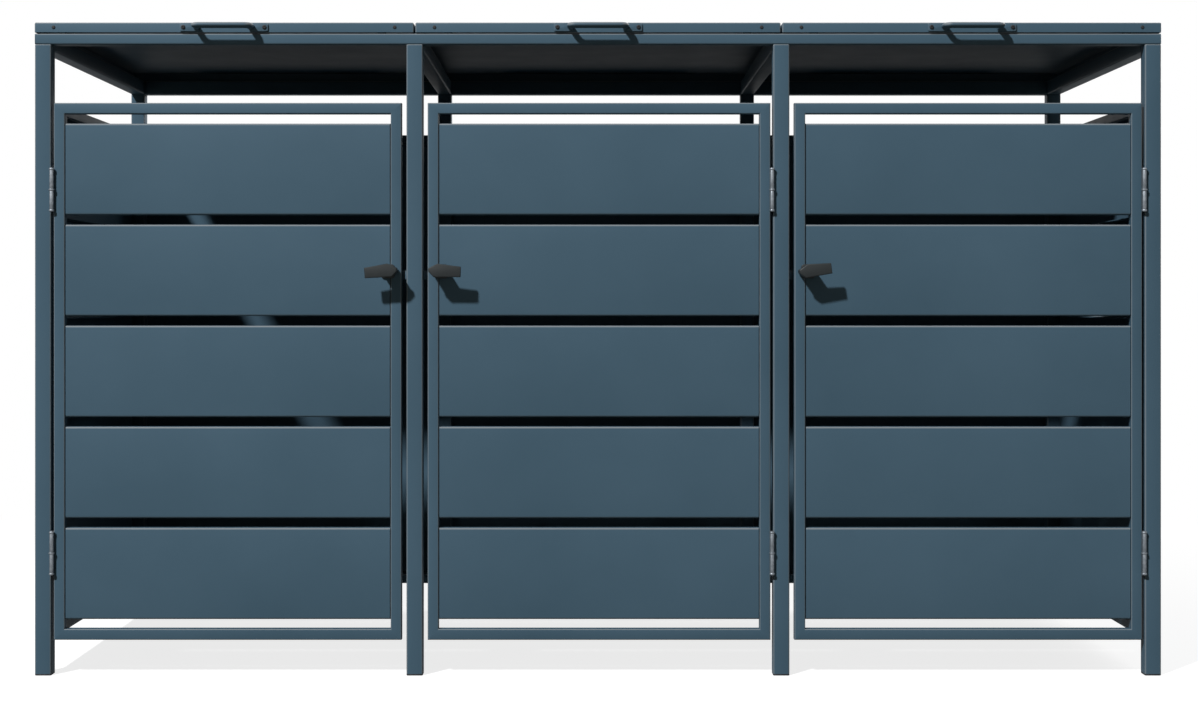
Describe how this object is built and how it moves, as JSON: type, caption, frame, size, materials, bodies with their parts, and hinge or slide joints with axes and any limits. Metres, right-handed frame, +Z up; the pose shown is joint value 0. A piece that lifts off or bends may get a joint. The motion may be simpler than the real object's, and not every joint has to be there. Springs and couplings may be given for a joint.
{
  "type": "wheelie bin store",
  "caption": "Free-standing metal store for wheelie bins, with hinged slatted doors, turning latches and lids that open upwards.",
  "frame": {"origin": "middle of the footprint on the ground, at the middle of the overall box", "axes": "+X to the right seen from the front, +Y to the back, +Z up; the doors face -Y"},
  "size_m": [2.07, 0.865, 1.2],
  "materials": {
    "anthracite_paint": "satin powder coat",
    "galvanised_steel": "zinc plated",
    "dark_plastic": "matt",
    "black_plastic": "matt",
    "black_rubber": "matt"
  },
  "bodies": {
    "frame": {"back_beam": "anthracite_paint", "back_panel_centre": "anthracite_paint", "back_panel_left": "anthracite_paint", "back_panel_right": "anthracite_paint", "back_post_1": "anthracite_paint", "back_post_2": "anthracite_paint", "back_post_3": "anthracite_paint", "back_post_4": "anthracite_paint", "back_rails": "anthracite_paint", "beam_end_caps": "black_plastic", "cross_rail_1": "anthracite_paint", "cross_rail_2": "anthracite_paint", "cross_rail_3": "anthracite_paint", "cross_rail_4": "anthracite_paint", "door_hinge_post_leaves": "galvanised_steel", "foot_caps": "black_plastic", "front_beam": "anthracite_paint", "front_post_1": "anthracite_paint", "front_post_2": "anthracite_paint", "front_post_3": "anthracite_paint", "front_post_4": "anthracite_paint", "latch_strikes": "galvanised_steel", "lid_buffers": "black_rubber", "lid_hinge_base_leaves": "anthracite_paint", "side_rails_left": "anthracite_paint", "side_rails_right": "anthracite_paint", "side_slats_left": "anthracite_paint", "side_slats_right": "anthracite_paint"},
    "lid_left": {"lid_handle_left": "anthracite_paint", "lid_hinge_leaves_left": "anthracite_paint", "lid_panel_left": "anthracite_paint"},
    "door_left": {"door_frame_left": "anthracite_paint", "door_hinge_leaves_left": "galvanised_steel", "door_slats_left": "anthracite_paint", "latch_rose_left": "dark_plastic"},
    "latch_left": {"latch_cam_left": "galvanised_steel", "latch_lever_left": "dark_plastic"},
    "lid_centre": {"lid_handle_centre": "anthracite_paint", "lid_hinge_leaves_centre": "anthracite_paint", "lid_panel_centre": "anthracite_paint"},
    "door_centre": {"door_frame_centre": "anthracite_paint", "door_hinge_leaves_centre": "galvanised_steel", "door_slats_centre": "anthracite_paint", "latch_rose_centre": "dark_plastic"},
    "latch_centre": {"latch_cam_centre": "galvanised_steel", "latch_lever_centre": "dark_plastic"},
    "lid_right": {"lid_handle_right": "anthracite_paint", "lid_hinge_leaves_right": "anthracite_paint", "lid_panel_right": "anthracite_paint"},
    "door_right": {"door_frame_right": "anthracite_paint", "door_hinge_leaves_right": "galvanised_steel", "door_slats_right": "anthracite_paint", "latch_rose_right": "dark_plastic"},
    "latch_right": {"latch_cam_right": "galvanised_steel", "latch_lever_right": "dark_plastic"}
  },
  "joints": [
    {"name": "lid_left_hinge", "type": "hinge", "parent": "frame", "child": "lid_left", "pos_m": [-0.68675, 0.4285, 1.181], "axis": [-1, 0, 0], "range_deg": [0, 95]},
    {"name": "lid_centre_hinge", "type": "hinge", "parent": "frame", "child": "lid_centre", "pos_m": [0, 0.4285, 1.181], "axis": [-1, 0, 0], "range_deg": [0, 95]},
    {"name": "lid_right_hinge", "type": "hinge", "parent": "frame", "child": "lid_right", "pos_m": [0.68675, 0.4285, 1.181], "axis": [-1, 0, 0], "range_deg": [0, 95]},
    {"name": "door_left_hinge", "type": "hinge", "parent": "frame", "child": "door_left", "pos_m": [-1.0025, -0.3915, 0.559], "axis": [0, 0, -1], "range_deg": [0, 110]},
    {"name": "door_centre_hinge", "type": "hinge", "parent": "frame", "child": "door_centre", "pos_m": [0.3195, -0.3915, 0.559], "axis": [0, 0, 1], "range_deg": [0, 110]},
    {"name": "door_right_hinge", "type": "hinge", "parent": "frame", "child": "door_right", "pos_m": [1.0025, -0.3915, 0.559], "axis": [0, 0, 1], "range_deg": [0, 110]},
    {"name": "latch_left_turn", "type": "hinge", "parent": "door_left", "child": "latch_left", "pos_m": [-0.386, -0.3865, 0.74282], "axis": [0, 1, 0], "range_deg": [0, 90]},
    {"name": "latch_centre_turn", "type": "hinge", "parent": "door_centre", "child": "latch_centre", "pos_m": [-0.288, -0.3865, 0.74282], "axis": [0, -1, 0], "range_deg": [0, 90]},
    {"name": "latch_right_turn", "type": "hinge", "parent": "door_right", "child": "latch_right", "pos_m": [0.386, -0.3865, 0.74282], "axis": [0, -1, 0], "range_deg": [0, 90]}
  ]
}
